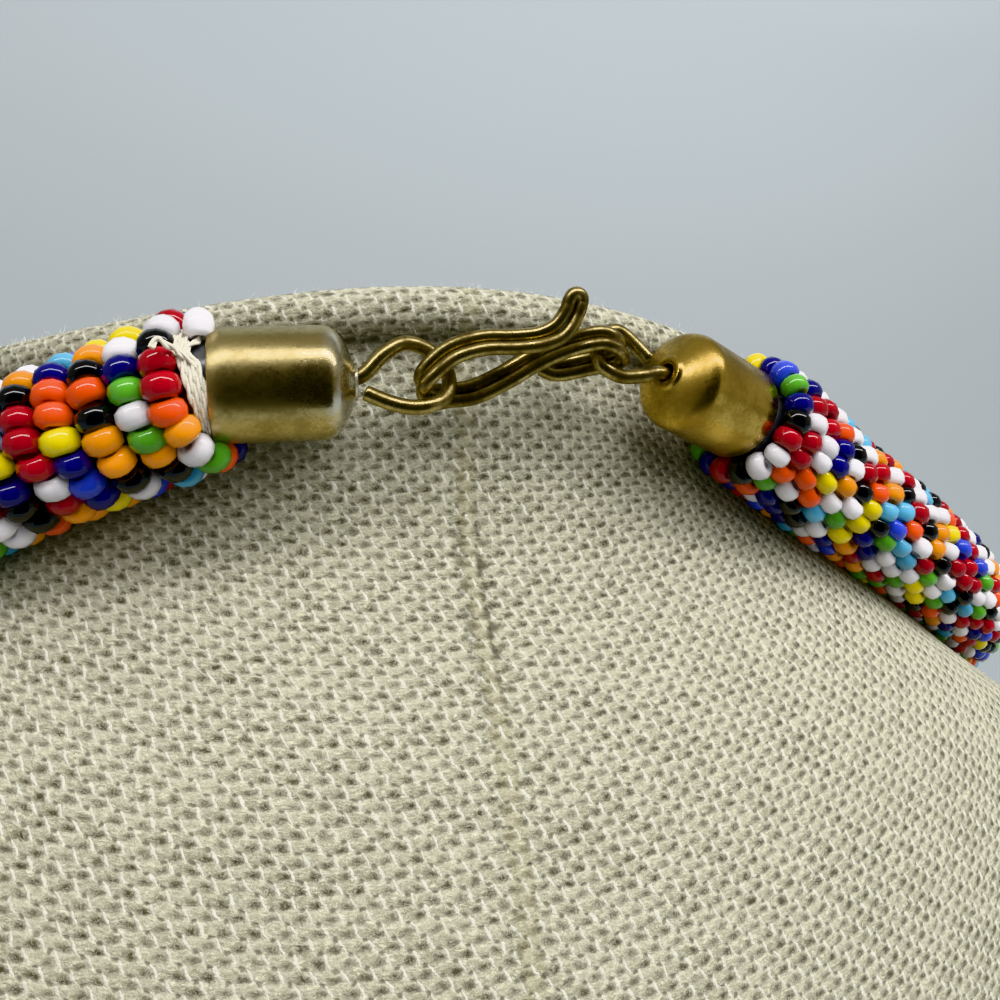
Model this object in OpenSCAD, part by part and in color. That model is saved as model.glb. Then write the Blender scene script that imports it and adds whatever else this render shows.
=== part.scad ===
// Collar necklace of a thick beaded rope, fastened at the nape of a linen neck bust.
// Millimetres. Z is up, the bust stands on z = 0 and the clasp is at the back, at -Y.

/* [Beaded rope] */
// Outer diameter of the rope, over its beads
rope_d = 15; // [14.6:0.1:15.4]
// Diameter of the smooth core tube inside the beads
core_d = 8.6; // [8:0.1:8.8]
// Clear gap between the beads and the linen that they lie on
seat_gap = 0.4; // [0.3:0.1:0.8]
// Place of the rope's left end round the neck, in degrees from the nape
left_end = 23; // [22:0.5:24]
// Place of the rope's right end round the neck, in degrees from the nape
right_end = 29; // [28:0.5:30]
// Core left bare between its turn at the left cap and the first beads
left_bare = 1.6; // [1.4:0.1:2.5]
// Core left bare between the right cap and the first beads
right_bare = 1; // [0.8:0.1:2]
// How many bust rows the rope climbs at the nape, above its seat
nape_climb = 2.8; // [2.6:0.1:3]
// How far round the neck that climb spreads, in degrees
nape_spread = 30; // [28:1:32]

/* [End caps] */
// Outer diameter of an end cap
cap_d = 10.2; // [9.8:0.1:10.4]
// Length of an end cap, from its mouth to its nose
cap_len = 12.6; // [12:0.1:13]
// Radius of the cap's rounded shoulder
shoulder_r = 1.9; // [1.5:0.1:2.4]
// How far the shoulder turns in before the flatter nose begins, in degrees
shoulder_turn = 55; // [50:1:60]
// How far the profile has turned where it meets the nose's lip, in degrees
nose_turn = 72; // [68:1:80]
// Diameter of the low lip round the hole in the nose
lip_d = 3.4; // [3.2:0.1:3.8]
// Height of that lip
lip_h = 0.25; // [0.2:0.05:0.4]
// Diameter of the hole in the nose, which the wire comes out of
nose_hole_d = 2.4; // [2.2:0.1:2.5]
// How far the core tube goes into a cap
core_in_cap = 7; // [5:0.5:8]

/* [Clasp wire] */
// Diameter of the brass wire of the hook and of both eyes
wire_d = 1.25; // [1.1:0.05:1.3]
// Distance between the middles of the hook's two strands
strand_pitch = 1.42; // [1.4:0.01:1.5]
// How far the lower strand stands forward of the upper one, in degrees
strand_lay = 25; // [20:1:30]

/* [Rolled rim] */
// Radius of the rolled linen rim at the top of the neck
roll_r = 2.3; // [2:0.1:2.6]
// Height of the roll's middle above the neck's last row
roll_rise = 5.1; // [4.9:0.1:5.4]
// How far the roll's middle is set in from the neck's wall
roll_inset = 0.8; // [0.6:0.1:1.2]

/* [Hidden] */

// Clear gap between the core and what goes round it
fit_gap = 0.15;

// Columns of the bust's table, which has one row for each section from the neck down
HALF_W = 0; // half of the section's width
BACK_Y = 1; // place of its back
FRONT_Y = 2; // place of its front
BACK_Z = 3; // height at its back
SIDE_Z = 4; // height at its sides
FRONT_Z = 5; // height at its front
bust_rows = [
    [54, -26, 57, 218, 198, 175], // neck, under the rim
    [62, -28, 57, 213, 177, 147], // root of the neck
    [98, -33, 69, 200, 150, 104], // seat of the collar
    [120, -51, 80, 183, 134, 81], // shoulders
    [121, -71, 85, 153, 103, 61], // chest
    [119, -81, 82, 110, 73, 42], // below the chest
    [108, -85, 72, 60, 40, 22], // waist
    [98, -82, 62, 0, 0, 0] // base, which stands flat
];
// The row that the collar lies along, away from the nape
seat_row = 2;
// How far a section dips halfway between its back, side and front
quarter_dip = 2;
// The rows between which that dip fades out towards the flat base
dip_fades_from = 5;
dip_fades_over = 2;

// Mouth of each cap, then its heading and its rise in degrees, from the mouth to the nose
left_mouth = [-24, -30.7, 216.3];
left_heading = -6;
left_rise = 4;
right_mouth = [30.1, -27.9, 214.1];
right_heading = -161;
right_rise = 22;
// The left end turns sharply, this far out of its cap's mouth, and is on its own line again
// after the bend. The right end meets its cap almost squarely and needs only an easy bend.
left_straight = 1;
left_bend = 6;
right_bend = 16;

// The clasp's own frame, halfway between the two noses
clasp_at = [3.9, -31.8, 218];
clasp_heading = 0.8;
clasp_rise = 3;
clasp_lean = 15;

// Routes of the wires in the clasp's frame: along it, up it, and out towards the viewer.
// The hook's route is the middle of its two strands, and ends with their roll in degrees.
hook_route = [
    [5, 6.7, 2.6, -75], // folded tip
    [4.6, 5.6, 2.4, -60],
    [3.5, 4.1, 2.2, -25],
    [1.6, 3.3, 1.9, 0], // upper run
    [-0.9, 3.1, 1.6, 0],
    [-3.8, 3.1, 1.5, 0],
    [-6.7, 2.4, 1.5, 0],
    [-8.8, 0.9, 1.2, 0], // left bend, through the left eye
    [-9.6, -0.4, 0.3, 0],
    [-8.6, -1.5, -1.3, 0],
    [-6.5, -1.4, -1.8, 0],
    [-4.2, -1.2, -1.6, 0], // lower run
    [-1.2, 0, -1.4, 0],
    [2.1, 1.7, -1.1, 0],
    [5.2, 2.9, 0, 0],
    [8, 3.4, 0.9, 0],
    [9.7, 2.9, 0.8, 0], // right bend, through the right eye
    [10.7, 2, -0.2, 0],
    [10.2, 1.4, -1.4, 0],
    [8.6, 1.3, -2.1, 0],
    [5, 0.8, -2.9, 0],
    [3.3, 1.4, -3.1, 0] // cut ends, behind the rising strands
];
left_eye_route = [
    [-17.8, 0.2, -0.3], // inside the cap
    [-15.1, 0.5, 0],
    [-12.9, 2.4, 0],
    [-10.8, 3.4, -0.4],
    [-8.6, 2.8, -0.9],
    [-7.1, 1.3, -0.9],
    [-6.8, -0.3, -0.4],
    [-7.6, -1.7, 0.5],
    [-9.2, -2.4, 1.2],
    [-10.9, -2.5, 1.2],
    [-12.8, -2, 0.9],
    [-14.9, -1, 0.5] // cut end, against the nose
];
right_eye_route = [
    [17.2, -0.8, -0.9], // inside the cap
    [14.8, -0.1, 0],
    [12.9, -0.3, 0.2],
    [10.4, -0.3, 0.2],
    [8.5, 0.7, 0.1],
    [8.2, 1.9, -0.4],
    [8.8, 3.3, -1],
    [10.2, 4.3, -1.4],
    [11.7, 3.8, -1.3],
    [13.7, 1.2, -0.2] // cut end, against the nose
];

// Counts of facets
bust_sides = 54;
steps_per_row = 4;
top_rings = 3;
rope_stations = 60;
rope_sides = 20;
core_sides = 12;
wire_sides = 8;
wire_steps = 4;
fold_steps = 4;
small = 0.01;

// Small vector helpers
function unit(v) = v / norm(v);
function smooth_step(t) = t * t * (3 - 2 * t);
function clamp(v, low, high) = min(max(v, low), high);
function heading_to(heading, rise) =
    [cos(heading) * cos(rise), sin(heading) * cos(rise), sin(rise)];

// A smooth curve between b and c, with a and d as its neighbours
function between(a, b, c, d, t) =
    (2 * b + (c - a) * t + (2 * a - 5 * b + 4 * c - d) * t * t
    + (3 * b - a - 3 * c + d) * t * t * t) / 2;
function pick(rows, i) = rows[clamp(i, 0, len(rows) - 1)];
function row_at(rows, t) =
    let (i = clamp(floor(t), 0, len(rows) - 2), f = t - i)
    between(pick(rows, i - 1), rows[i], rows[i + 1], pick(rows, i + 2), f);
function smooth_route(route, steps) =
    let (last = len(route) - 1,
        ends = concat([2 * route[0] - route[1]], route, [2 * route[last] - route[last - 1]]))
    concat([for (i = [1:last], k = [0:steps - 1])
        between(ends[i - 1], ends[i], ends[i + 1], ends[i + 2], k / steps)], [route[last]]);

// A point of the bust: round the section from the nape, and down the table by t rows
function section_point(row, turn, dip) =
    let (middle_y = (row[BACK_Y] + row[FRONT_Y]) / 2, half_y = (row[FRONT_Y] - row[BACK_Y]) / 2,
        tilt_z = (row[BACK_Z] - row[FRONT_Z]) / 2,
        saddle_z = (row[BACK_Z] + row[FRONT_Z]) / 2 - row[SIDE_Z])
    [row[HALF_W] * sin(turn), middle_y - half_y * cos(turn),
        row[SIDE_Z] + tilt_z * cos(turn) + saddle_z * cos(turn) * cos(turn)
        - dip * sin(2 * turn) * sin(2 * turn)];
function dip_at(t) = quarter_dip * (1 - clamp((t - dip_fades_from) / dip_fades_over, 0, 1));
function bust_point(turn, t) = section_point(row_at(bust_rows, t), turn, dip_at(t));
function bust_outward(turn, t) =
    unit(cross(bust_point(turn, t + small) - bust_point(turn, t - small),
        bust_point(turn + small, t) - bust_point(turn - small, t)));

// The collar's middle line lies a rope's radius off the linen, and climbs at the nape
function from_nape(turn) = turn > 180 ? turn - 360 : turn;
function collar_row(turn) = max(small,
    seat_row - nape_climb * exp(-pow(from_nape(turn) / nape_spread, 2)));
function collar_point(turn) = bust_point(turn, collar_row(turn))
    + (rope_d / 2 + seat_gap) * bust_outward(turn, collar_row(turn));

// Stations of the collar, from its right cap round the front to its left cap
collar_turns = [for (i = [0:rope_stations])
    right_end + (360 - right_end - left_end) * i / rope_stations];
collar_line = [for (turn = collar_turns) collar_point(turn)];
function lengths(points) =
    [for (i = 0, s = 0; i < len(points);
        s = s + (i + 1 < len(points) ? norm(points[i + 1] - points[i]) : 0), i = i + 1) s];
collar_s = lengths(collar_line);
collar_total = collar_s[rope_stations];

// Near its ends the line bends over to each cap's own axis
left_axis = heading_to(left_heading, left_rise);
right_axis = heading_to(right_heading, right_rise);
function hold(s, bend) = s >= bend ? 0 : smooth_step(1 - s / bend);
function bent(p, s) =
    let (r = hold(s, right_bend), l = hold(collar_total - s, left_bend))
    p + r * (right_mouth - right_axis * s - p)
    + l * (left_mouth - left_axis * (collar_total - s + left_straight) - p);
rope_line = [for (i = [0:rope_stations]) bent(collar_line[i], collar_s[i])];

// The part of a line between two lengths along it, with its ends cut there
function point_along(points, s_list, s) =
    let (k = max([for (i = [0:len(points) - 2]) s_list[i] <= s ? i : 0]))
    points[k] + (points[k + 1] - points[k]) * (s - s_list[k]) / (s_list[k + 1] - s_list[k]);
function cut_line(points, s_list, from, to) =
    concat([point_along(points, s_list, from)],
        [for (i = [0:len(points) - 1]) if (s_list[i] > from + 1 && s_list[i] < to - 1) points[i]],
        [point_along(points, s_list, to)]);

// Sweeping a round section along points, with a frame that is carried without twist
function along(points, i) =
    unit(points[min(i + 1, len(points) - 1)] - points[max(i - 1, 0)]);
function square_to(v, t) = unit(v - t * (v * t));
function frames(points, start) =
    [for (i = 0, n = square_to(start, along(points, 0)); i < len(points);
        i = i + 1, n = i < len(points) ? square_to(n, along(points, i)) : n) n];
function rings(points, radius, sides, start) =
    let (normals = frames(points, start))
    [for (i = [0:len(points) - 1], k = [0:sides - 1])
        let (n = normals[i], b = cross(along(points, i), n), a = 360 * k / sides)
        points[i] + radius * (cos(a) * n + sin(a) * b)];
// Faces between rings that follow each other, counted from a first point
function skin(first, count, sides, flip) =
    [for (i = [0:count - 2], k = [0:sides - 1])
        let (a = first + i * sides + k, b = first + i * sides + (k + 1) % sides,
            c = a + sides, d = b + sides)
        each flip ? [[a, b, c], [b, d, c]] : [[a, c, b], [b, c, d]]];
function disc(first, sides, flip) =
    [flip ? [for (k = [sides - 1:-1:0]) first + k] : [for (k = [0:sides - 1]) first + k]];

module rod(points, radius, sides, start) {
    count = len(points);
    polyhedron(rings(points, radius, sides, start),
        concat(skin(0, count, sides, false), disc(0, sides, false),
            disc((count - 1) * sides, sides, true)));
}

module sleeve(points, outer_r, inner_r, sides, start) {
    count = len(points);
    inner = count * sides;
    last = (count - 1) * sides;
    polyhedron(
        concat(rings(points, outer_r, sides, start), rings(points, inner_r, sides, start)),
        concat(skin(0, count, sides, false), skin(inner, count, sides, true),
            [for (k = [0:sides - 1])
                let (a = k, b = (k + 1) % sides, c = inner + a, d = inner + b)
                each [[a, b, c], [b, d, c]]],
            [for (k = [0:sides - 1])
                let (a = last + k, b = last + (k + 1) % sides, c = inner + a, d = inner + b)
                each [[a, c, b], [b, c, d]]]));
}

// Neck bust: sections from the base up, then the rolled rim, then the cover inside it
function raised(row, outward, rise) = [row[HALF_W] + outward, row[BACK_Y] - outward,
    row[FRONT_Y] + outward, row[BACK_Z] + rise, row[SIDE_Z] + rise, row[FRONT_Z] + rise];
function drawn_in(row, keep, drop) =
    let (y = (row[BACK_Y] + row[FRONT_Y]) / 2, z = (row[BACK_Z] + row[FRONT_Z]) / 2)
    [row[HALF_W] * keep, y + (row[BACK_Y] - y) * keep, y + (row[FRONT_Y] - y) * keep,
        z + (row[BACK_Z] - z) * keep - drop, z + (row[SIDE_Z] - z) * keep - drop,
        z + (row[FRONT_Z] - z) * keep - drop];
neck_top = bust_rows[0];
roll_angles = [-70:35:175];
roll_rows = [for (a = roll_angles)
    raised(neck_top, roll_r * cos(a) - roll_inset, roll_rise + roll_r * sin(a))];
crease_row = raised(neck_top, -roll_inset / 2, roll_rise - roll_r);
cover_row = raised(neck_top, -2 * roll_r, roll_rise - roll_r / 2);
cover_rows = [for (i = [0:top_rings - 1]) drawn_in(cover_row, 1 - i / top_rings, i)];
last_row = len(bust_rows) - 1;

module neck_bust() {
    wall = [for (i = [last_row * steps_per_row:-1:0], k = [0:bust_sides - 1])
        bust_point(360 * k / bust_sides, i / steps_per_row)];
    rim = [for (row = concat([crease_row], roll_rows, cover_rows), k = [0:bust_sides - 1])
        section_point(row, 360 * k / bust_sides, quarter_dip)];
    points = concat(wall, rim);
    count = len(points) / bust_sides;
    middle_row = drawn_in(cover_row, 0, top_rings);
    middle = [0, (middle_row[BACK_Y] + middle_row[FRONT_Y]) / 2, middle_row[BACK_Z]];
    first = (count - 1) * bust_sides;
    color([0.80, 0.77, 0.69]) polyhedron(concat(points, [middle]),
        concat(skin(0, count, bust_sides, false), disc(0, bust_sides, false),
            [for (k = [0:bust_sides - 1])
                [first + (k + 1) % bust_sides, first + k, len(points)]]));
}

// Core tube: bare just behind each cap, and a little way into it
module core_tube() {
    inside = core_in_cap / 2;
    line = concat(
        [right_mouth + right_axis * core_in_cap, right_mouth + right_axis * inside],
        rope_line,
        [left_mouth, left_mouth + left_axis * inside, left_mouth + left_axis * core_in_cap]);
    color([0.36, 0.37, 0.39]) rod(line, core_d / 2, core_sides, [0, 0, 1]);
}

// Sleeve of seed beads round the core, as the solid of its outer form
module bead_rope() {
    line = cut_line(rope_line, lengths(rope_line), right_bare,
        lengths(rope_line)[rope_stations] - left_bare);
    color([0.74, 0.20, 0.14])
        sleeve(line, rope_d / 2, core_d / 2 + fit_gap, rope_sides, [0, 0, 1]);
}

// End cap: a thin drawn shell with a rounded shoulder, a domed nose and a lip round its hole
function arc(at, r, from, to, steps) =
    [for (i = [0:steps]) let (a = from + (to - from) * i / steps) at + r * [cos(a), sin(a)]];
module cap() {
    outer = cap_d / 2;
    inner = core_d / 2 + fit_gap;
    wall = outer - inner;
    hole = nose_hole_d / 2;
    lip = lip_d / 2;
    dome_r = (outer - shoulder_r * (1 - cos(shoulder_turn)) - lip)
        / (cos(shoulder_turn) - cos(nose_turn));
    end_h = shoulder_r * sin(shoulder_turn) + dome_r * (sin(nose_turn) - sin(shoulder_turn));
    shoulder_at = [outer - shoulder_r, cap_len - lip_h - end_h];
    dome_at = shoulder_at + (shoulder_r - dome_r) * [cos(shoulder_turn), sin(shoulder_turn)];
    rotate_extrude($fn = 48) polygon(concat(
        [[inner, 0], [outer, 0]],
        arc(shoulder_at, shoulder_r, 0, shoulder_turn, 6),
        arc(dome_at, dome_r, shoulder_turn + 3, nose_turn, 5),
        [[lip, cap_len], [hole, cap_len], [hole, cap_len - lip_h - wall]],
        arc(dome_at, dome_r - wall, nose_turn - 3, shoulder_turn + 3, 4),
        arc(shoulder_at, shoulder_r - wall, shoulder_turn, 0, 6)));
}
module seated(mouth, heading, rise) {
    translate(mouth) rotate([0, 90 - rise, heading]) cap();
}
module left_cap() {
    color([0.72, 0.66, 0.48]) seated(left_mouth, left_heading, left_rise);
}
module right_cap() {
    color([0.78, 0.62, 0.28]) seated(right_mouth, right_heading, right_rise);
}

// The clasp's axes: along it, up it, and out towards the viewer
clasp_u = heading_to(clasp_heading, clasp_rise);
clasp_v = square_to([0, sin(clasp_lean), cos(clasp_lean)], clasp_u);
clasp_w = cross(clasp_u, clasp_v);
function in_place(p) = clasp_at + p[0] * clasp_u + p[1] * clasp_v + p[2] * clasp_w;
function placed(points) = [for (p = points) in_place(p)];

// Wire eyes: one teardrop each, with a leg in the cap and a cut end against its nose
module left_eye() {
    color([0.60, 0.48, 0.24])
        rod(placed(smooth_route(left_eye_route, wire_steps)), wire_d / 2, wire_sides, clasp_w);
}
module right_eye() {
    color([0.60, 0.48, 0.24])
        rod(placed(smooth_route(right_eye_route, wire_steps)), wire_d / 2, wire_sides, clasp_w);
}

// S-hook: one wire folded back on itself at the tip, its two strands side by side
function middle_of(rows) = [for (r = rows) [r[0], r[1], r[2]]];
function turned(v, t, a) = v * cos(a) + cross(t, v) * sin(a);
hook_rows = smooth_route(hook_route, wire_steps);
hook_middle = middle_of(hook_rows);
lay_side = [0, -cos(strand_lay), sin(strand_lay)];
hook_side = [for (i = [0:len(hook_rows) - 1])
    let (t = along(hook_middle, i)) turned(square_to(lay_side, t), t, hook_rows[i][3])];
half_pitch = strand_pitch / 2;
module s_hook() {
    last = len(hook_middle) - 1;
    away = -along(hook_middle, 0);
    front = [for (i = [last:-1:0]) hook_middle[i] + half_pitch * hook_side[i]];
    fold = [for (k = [1:fold_steps - 1])
        let (a = 180 * k / fold_steps)
        hook_middle[0] + half_pitch * (hook_side[0] * cos(a) + away * sin(a))];
    rear = [for (i = [0:last]) hook_middle[i] - half_pitch * hook_side[i]];
    color([0.60, 0.48, 0.24])
        rod(placed(concat(front, fold, rear)), wire_d / 2, wire_sides, clasp_w);
}

neck_bust();
core_tube();
bead_rope();
left_cap();
right_cap();
left_eye();
right_eye();
s_hook();
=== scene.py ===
# %% [markdown]
# # A beaded rope collar on its linen neck bust
# This lesson dresses a collar necklace in Blender. The necklace is a thick rope of glass
# seed beads, closed at the nape by two brass caps and a hook of doubled wire. It lies on
# a neck bust that is covered in linen. A imported model gives every solid its true place,
# so each piece made here follows that model's measures and then takes its place.

# %% The frame
import random
from math import asin, cos, exp, pi, radians, sin

import bmesh
import bpy
import numpy as np
from mathutils import Matrix, Vector


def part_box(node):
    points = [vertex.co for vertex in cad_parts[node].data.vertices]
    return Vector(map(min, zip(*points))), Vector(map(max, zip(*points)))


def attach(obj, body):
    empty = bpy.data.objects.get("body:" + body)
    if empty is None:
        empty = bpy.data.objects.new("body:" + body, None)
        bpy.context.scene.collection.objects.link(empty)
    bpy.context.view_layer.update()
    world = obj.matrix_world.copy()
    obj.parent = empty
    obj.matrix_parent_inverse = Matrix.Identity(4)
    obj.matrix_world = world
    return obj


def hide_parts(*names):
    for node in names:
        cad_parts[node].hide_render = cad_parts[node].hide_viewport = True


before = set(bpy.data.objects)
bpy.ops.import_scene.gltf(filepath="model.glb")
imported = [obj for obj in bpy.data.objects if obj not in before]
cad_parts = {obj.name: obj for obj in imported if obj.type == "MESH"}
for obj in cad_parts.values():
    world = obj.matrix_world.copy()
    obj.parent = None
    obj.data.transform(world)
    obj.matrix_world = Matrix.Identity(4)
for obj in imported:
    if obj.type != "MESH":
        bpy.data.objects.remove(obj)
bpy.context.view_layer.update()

MM = 0.001  # the sizes below are in millimetres, and Blender's are in metres
BODY = "root"
print("nodes:", sorted(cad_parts))

# %% [markdown]
# The photograph looks at the clasp from a hand's width away, from behind, from a little
# above and from the left. A lens of 36 mm on a sensor of 36 mm gives the same spread of
# view. A camera's own axes are right, up and backwards, so its matrix is filled with
# those three, worked out from a heading, a downward tilt and a lean.

# %% The camera
CAMERA_AT = (-27.3, -120.1, 233.5)
HEADING, TILT, LEAN = radians(-18.9), radians(16.5), radians(-4.7)
LENS_MM = SENSOR_MM = 36


def camera_axes(heading, tilt, lean):
    """Right, up and ahead of a camera that faces +Y before it turns."""
    ahead = Vector((-sin(heading) * cos(tilt), cos(heading) * cos(tilt), -sin(tilt)))
    level = Vector((cos(heading), sin(heading), 0))
    upright = level.cross(ahead)
    right = level * cos(lean) - upright * sin(lean)
    return right, level * sin(lean) + upright * cos(lean), ahead


def axes_matrix(x, y, z, at):
    """The matrix whose columns are three axes and a place."""
    return Matrix((x, y, z)).transposed().to_4x4() + Matrix.Translation(at) - Matrix.Identity(4)


right, above, ahead = camera_axes(HEADING, TILT, LEAN)
lens = bpy.data.cameras.new("camera")
lens.lens, lens.sensor_width, lens.clip_start = LENS_MM, SENSOR_MM, 0.005
camera = bpy.data.objects.new("camera", lens)
camera.matrix_world = axes_matrix(right, above, -ahead, Vector(CAMERA_AT) * MM)
bpy.context.collection.objects.link(camera)
bpy.context.scene.camera = camera
print("camera looks along", [round(c, 3) for c in ahead])

# %% [markdown]
# The bust is a stack of rounded sections, and the model's source gives them as a short
# table: half a width, the places of the back and front, and the heights at the back, the
# sides and the front. A smooth curve through the rows gives every section in between.
# The same functions are written here again, because the beads have to lie exactly on
# the line that the solid rope follows.

# %% The bust as a smooth surface
# half width, back y, front y, height at the back, at the sides and at the front
BUST_ROWS = np.array([
    [54, -26, 57, 218, 198, 175],  # neck, under the rim
    [62, -28, 57, 213, 177, 147],  # root of the neck
    [98, -33, 69, 200, 150, 104],  # seat of the collar
    [120, -51, 80, 183, 134, 81],  # shoulders
    [121, -71, 85, 153, 103, 61],  # chest
    [119, -81, 82, 110, 73, 42],  # below the chest
    [108, -85, 72, 60, 40, 22],  # waist
    [98, -82, 62, 0, 0, 0],  # base
], float)
LAST_ROW = len(BUST_ROWS) - 1
QUARTER_DIP, DIP_FADES_FROM, DIP_FADES_OVER = 2, 5, 2


def between(a, b, c, d, t):
    """A smooth curve from b to c, with a and d as its neighbours."""
    return 0.5 * (2 * b + (c - a) * t + (2 * a - 5 * b + 4 * c - d) * t**2
                  + (3 * b - a - 3 * c + d) * t**3)


def row_at(t):
    """The section t rows down the table."""
    t = np.clip(np.asarray(t, float), 0, LAST_ROW - 1e-9)
    i = np.floor(t).astype(int)
    a, b, c, d = (BUST_ROWS[np.clip(i + k, 0, LAST_ROW)] for k in (-1, 0, 1, 2))
    return between(a, b, c, d, (t - i)[..., None])


def dip_at(t):
    return QUARTER_DIP * (1 - np.clip((np.asarray(t) - DIP_FADES_FROM) / DIP_FADES_OVER, 0, 1))


print("halfway from the seat to the shoulders:", [round(float(v), 1) for v in row_at(2.5)])

# %% Points on the bust


def section_point(row, turn, dip):
    """Points of a section at turns in radians, from the nape round to the right."""
    half_w, back_y, front_y, back_z, side_z, front_z = (row[..., k] for k in range(6))
    c = np.cos(turn)
    x = half_w * np.sin(turn)
    y = (back_y + front_y) / 2 - (front_y - back_y) / 2 * c
    z = (side_z + (back_z - front_z) / 2 * c + ((back_z + front_z) / 2 - side_z) * c * c
         - dip * np.sin(2 * turn) ** 2)
    return np.stack([x, y, z], -1)


def bust_point(turn, t):
    return section_point(row_at(t), turn, dip_at(t))


def unit(v):
    return v / np.linalg.norm(v, axis=-1, keepdims=True)


def bust_outward(turn, t, step=1e-4):
    down = bust_point(turn, t + step) - bust_point(turn, t - step)
    around = bust_point(turn + step, t) - bust_point(turn - step, t)
    return unit(np.cross(down, around))


low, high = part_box("neck_bust")
print("bust from the frame, mm:", [round((b - a) / MM, 1) for a, b in zip(low, high)])

# %% [markdown]
# Materials come next, because each piece takes its own as it is made. Colours are given
# as screen values and turned into the linear values that Blender mixes. A few
# small helpers add a node, do a sum, mix two colours and make a soft step or a noise,
# which keeps the longer patterns readable.

# %% Colours as screen values


def screen(red, green, blue, alpha=1.0):
    """A colour given as a screen value, 0 to 255, as Blender's linear colour."""
    linear = [((c / 255 + 0.055) / 1.055) ** 2.4 if c > 10 else c / 255 / 12.92
              for c in (red, green, blue)]
    return (*linear, alpha)


print("oatmeal in linear values:", [round(c, 3) for c in screen(205, 202, 176)])

# %% Helpers for patterns


def plug(tree, value, socket):
    """Links another socket to this one, or sets a plain value."""
    if isinstance(value, bpy.types.NodeSocket):
        tree.links.new(value, socket)
    else:
        socket.default_value = value


def node(tree, kind, inputs=None, **settings):
    """Adds one node, sets it, and plugs its inputs by name."""
    made = tree.nodes.new("ShaderNode" + kind)
    for name, value in settings.items():
        setattr(made, name, value)
    for name, value in (inputs or {}).items():
        plug(tree, value, made.inputs[name])
    return made


def sums(tree):
    """A function that adds a Math node to the tree and gives its result."""
    def calc(operation, *values):
        return node(tree, "Math", dict(enumerate(values)), operation=operation).outputs[0]
    return calc


def mixed(tree, factor, first, second):
    """One colour laid over another by a factor."""
    made = node(tree, "Mix", data_type="RGBA")
    for name, value in (("Factor_Float", factor), ("A_Color", first), ("B_Color", second)):
        plug(tree, value, next(s for s in made.inputs if s.identifier == name))
    return next(s for s in made.outputs if s.identifier == "Result_Color")


def ramp(tree, value, low, high):
    """0 below low, 1 above high, and a soft step in between."""
    made = node(tree, "MapRange", {"Value": value, "From Min": low, "From Max": high},
                interpolation_type="SMOOTHSTEP")
    return made.outputs["Result"]


def fall(tree, value, low, high):
    """1 below low, 0 above high, and a soft step in between."""
    return sums(tree)("SUBTRACT", 1, ramp(tree, value, low, high))


def noise(tree, place, scale, detail, **more):
    """A soft noise over a place, around 0.5."""
    inputs = {"Vector": place, "Scale": scale, "Detail": detail, **more}
    return node(tree, "TexNoise", inputs).outputs["Fac"]


print("helpers:", [helper.__name__ for helper in (node, sums, mixed, ramp, fall, noise)])

# %% Helpers for groups and materials


def new_group(name, inputs, outputs):
    """An empty shader group with named sockets, and its two ends."""
    tree = bpy.data.node_groups.new(name, "ShaderNodeTree")
    for way, sockets in (("INPUT", inputs), ("OUTPUT", outputs)):
        for label, kind in sockets.items():
            tree.interface.new_socket(label, in_out=way, socket_type="NodeSocket" + kind)
    start, end = tree.nodes.new("NodeGroupInput"), tree.nodes.new("NodeGroupOutput")
    return tree, start.outputs, end.inputs


def use_group(tree, group, inputs):
    return node(tree, "Group", inputs, node_tree=group).outputs


def new_material(name, **plain):
    """A material with its Principled shader, and the values that are even all over."""
    material = bpy.data.materials.new(name)
    material.use_nodes = True
    shader = material.node_tree.nodes["Principled BSDF"]
    for label, value in plain.items():
        shader.inputs[label.replace("_", " ")].default_value = value
    return material, material.node_tree, shader


def dress(tree, shader, colour, height, strength, depth):
    """Plugs in a colour, and a height as a bump that is depth millimetres deep."""
    bump = node(tree, "Bump", {"Height": height, "Strength": strength, "Distance": depth * MM})
    tree.links.new(colour, shader.inputs["Base Color"])
    tree.links.new(bump.outputs["Normal"], shader.inputs["Normal"])


# %% [markdown]
# Linen is a plain weave: every thread goes over one crossing thread and under the next.
# The weft threads here are plump. Where one comes to the top it shows as a short domed
# oval, and the ovals of neighbouring rows lie like bricks. The warp is thinner and tighter,
# so it shows as slanting slivers between the ovals, made pale by a painted highlight. Each
# sliver has a pit at its head that is painted dark as shade, and every oval gets painted
# shade at its lower right, beside the foot of a sliver.
# The group below works in thread numbers, so one step is one thread. For each point it
# looks at the nearest crossing in the row below and in the row above and keeps the higher.

# %% Plain weave as a shared group
OVAL_LONG, OVAL_HIGH = 1.0, 0.62  # half an oval, in threads
SLIVER_LONG, SLIVER_WIDE, SLIVER_SLANT, SLIVER_SHIFT = 0.57, 0.15, 0.36, 0.1
# the belly is painted shade at an oval's lower right, and the pit is painted shade in the hole at a
# sliver's head
BELLY_RIGHT, BELLY_LOW, BELLY_LONG, BELLY_HIGH = 0.58, 0.2, 0.8, 0.52  # place and half size
PIT_LEFT, PIT_UP, PIT_LONG, PIT_HIGH = 0.34, 0.46, 0.3, 0.25
WANDER, THINNEST, FATTER = 1.15, 0.65, 0.7  # how far yarns stray, and how their width varies


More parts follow.
